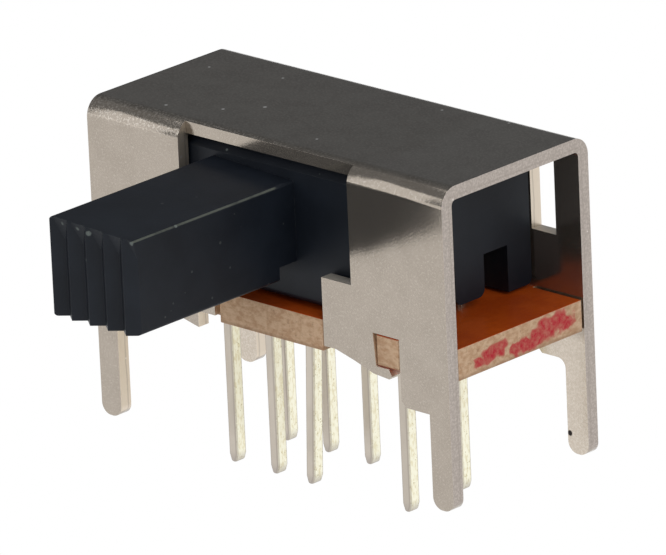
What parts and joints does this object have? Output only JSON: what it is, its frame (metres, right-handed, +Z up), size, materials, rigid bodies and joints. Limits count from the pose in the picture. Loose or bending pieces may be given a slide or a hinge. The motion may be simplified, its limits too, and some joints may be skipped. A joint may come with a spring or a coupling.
{
  "type": "slide switch",
  "caption": "Right-angle slide switch: folded steel frame over a laminate base board, a long black handle that slides across its front window, and rows of terminal pins below.",
  "frame": {"origin": "centre of the frame's footprint on the circuit board face that the four shoulders stand on", "axes": "+X along the handle's travel towards the common terminals, +Y from the handle towards the back wall, +Z up, away from the circuit board"},
  "size_m": [0.0168, 0.0148, 0.0131],
  "materials": {
    "plated_steel": "dull tin-plated cold-rolled steel sheet, finely grained",
    "laminate": "phenolic paper laminate, glossy orange-brown faces and pale sheared edges",
    "black_plastic": "matt black moulded plastic with scuffed edges",
    "terminal_metal": "tin-plated brass strip with drawn shear marks",
    "clip_bronze": "bare phosphor bronze strip",
    "ball_steel": "polished bearing steel",
    "spring_steel": "bright spring wire"
  },
  "bodies": {
    "housing": {"frame": "plated_steel", "base_board": "laminate", "terminal_front_1": "terminal_metal", "terminal_front_2": "terminal_metal", "terminal_front_3": "terminal_metal", "terminal_front_4": "terminal_metal", "terminal_rear_1": "terminal_metal", "terminal_rear_2": "terminal_metal", "terminal_rear_3": "terminal_metal", "terminal_rear_4": "terminal_metal"},
    "slide": {"slider": "black_plastic", "contact_clip_front": "clip_bronze", "contact_clip_rear": "clip_bronze", "detent_spring": "spring_steel"},
    "ball": {"detent_ball": "ball_steel"}
  },
  "joints": [
    {"name": "handle_slide", "type": "slide", "parent": "housing", "child": "slide", "axis": [1, 0, 0], "range_m": [-0.001, 0.003]},
    {"name": "detent_press", "type": "slide", "parent": "slide", "child": "ball", "axis": [0, -1, 0], "range_m": [0, 0.00025], "stiffness_N_per_m": 500, "springref_m": -0.0005, "deforming": ["detent_spring"]}
  ]
}
